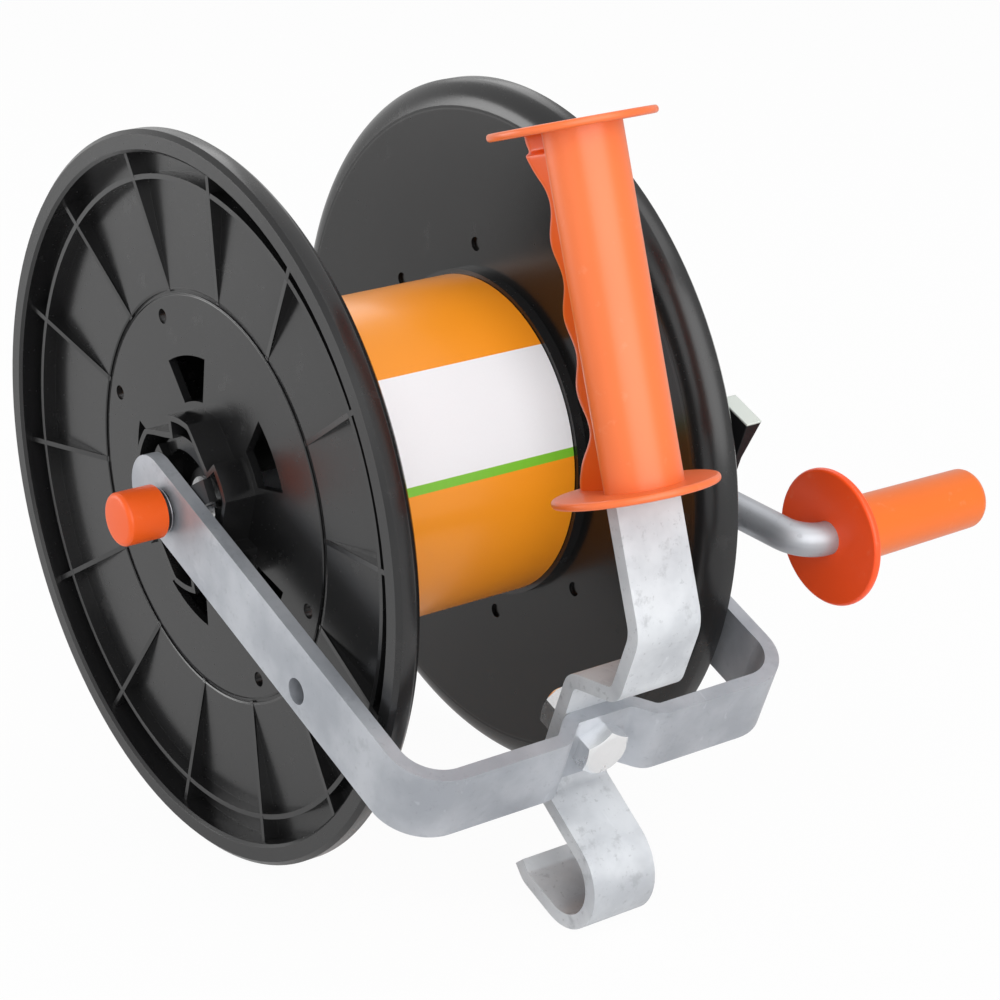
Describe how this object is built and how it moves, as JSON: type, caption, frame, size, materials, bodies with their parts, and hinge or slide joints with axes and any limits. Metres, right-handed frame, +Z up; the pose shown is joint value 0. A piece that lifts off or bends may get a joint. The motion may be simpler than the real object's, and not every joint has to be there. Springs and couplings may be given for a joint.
{
  "type": "electric fence reel",
  "caption": "Hand-held reel for electric fence line: flanged drum in a bent steel frame with a grip, hang hook, crank, push lock and ratchet lever.",
  "frame": {"origin": "middle of the winding drum, on the axle", "axes": "+X along the axle from the lock knob to the crank, -Y towards the hand grip, +Z up; the hook and both flange rims stand on a floor at Z = -0.127 m"},
  "size_m": [0.2833, 0.3111, 0.2722],
  "materials": {
    "galvanised_bar": "galvanised, matt",
    "galvanised_strap": "galvanised, bright with spangle",
    "zinc_steel": "bright zinc plate",
    "black_plastic": "moulded black plastic, satin",
    "orange_grip": "moulded orange plastic, soft sheen",
    "orange_knob": "moulded orange plastic, glossy",
    "orange_crank": "moulded orange plastic, soft sheen",
    "printed_label": "printed film with plain colour bands"
  },
  "bodies": {
    "frame": {"u_frame": "galvanised_bar", "handle_strap": "galvanised_strap", "frame_bolt": "zinc_steel", "frame_washer": "zinc_steel", "frame_nut": "zinc_steel", "hand_grip": "orange_grip", "far_bush": "black_plastic", "lever_bolt": "zinc_steel", "lever_washer": "zinc_steel", "lever_nut": "zinc_steel", "lock_spring": "zinc_steel"},
    "drum": {"near_flange": "black_plastic", "far_flange": "black_plastic", "drum_core": "black_plastic", "label_wrap": "printed_label", "axle": "zinc_steel", "axle_clip": "zinc_steel", "drive_pin": "zinc_steel", "thrust_washer": "zinc_steel", "crank_hub": "black_plastic", "hub_pin": "zinc_steel", "crank_rod": "zinc_steel", "rod_pin": "zinc_steel", "grip_ring": "zinc_steel"},
    "crank_handle": {"crank_grip": "orange_crank"},
    "lock": {"lock_knob": "orange_knob", "lock_sleeve": "black_plastic"},
    "lever": {"ratchet_lever": "black_plastic"}
  },
  "joints": [
    {"name": "drum_spin", "type": "hinge", "parent": "frame", "child": "drum", "pos_m": [0, 0, 0], "axis": [1, 0, 0], "continuous": true},
    {"name": "crank_grip_spin", "type": "hinge", "parent": "drum", "child": "crank_handle", "pos_m": [0.15, -0.11511, -0.02598], "axis": [1, 0, 0], "continuous": true},
    {"name": "lock_push", "type": "slide", "parent": "frame", "child": "lock", "axis": [1, 0, 0], "range_m": [0, 0.0028], "stiffness_N_per_m": 800, "springref_m": -0.003, "deforming": ["lock_spring"]},
    {"name": "lever_turn", "type": "hinge", "parent": "frame", "child": "lever", "pos_m": [0.08, -0.07833, -0.04253], "axis": [-1, 0, 0], "range_deg": [0, 6]}
  ]
}
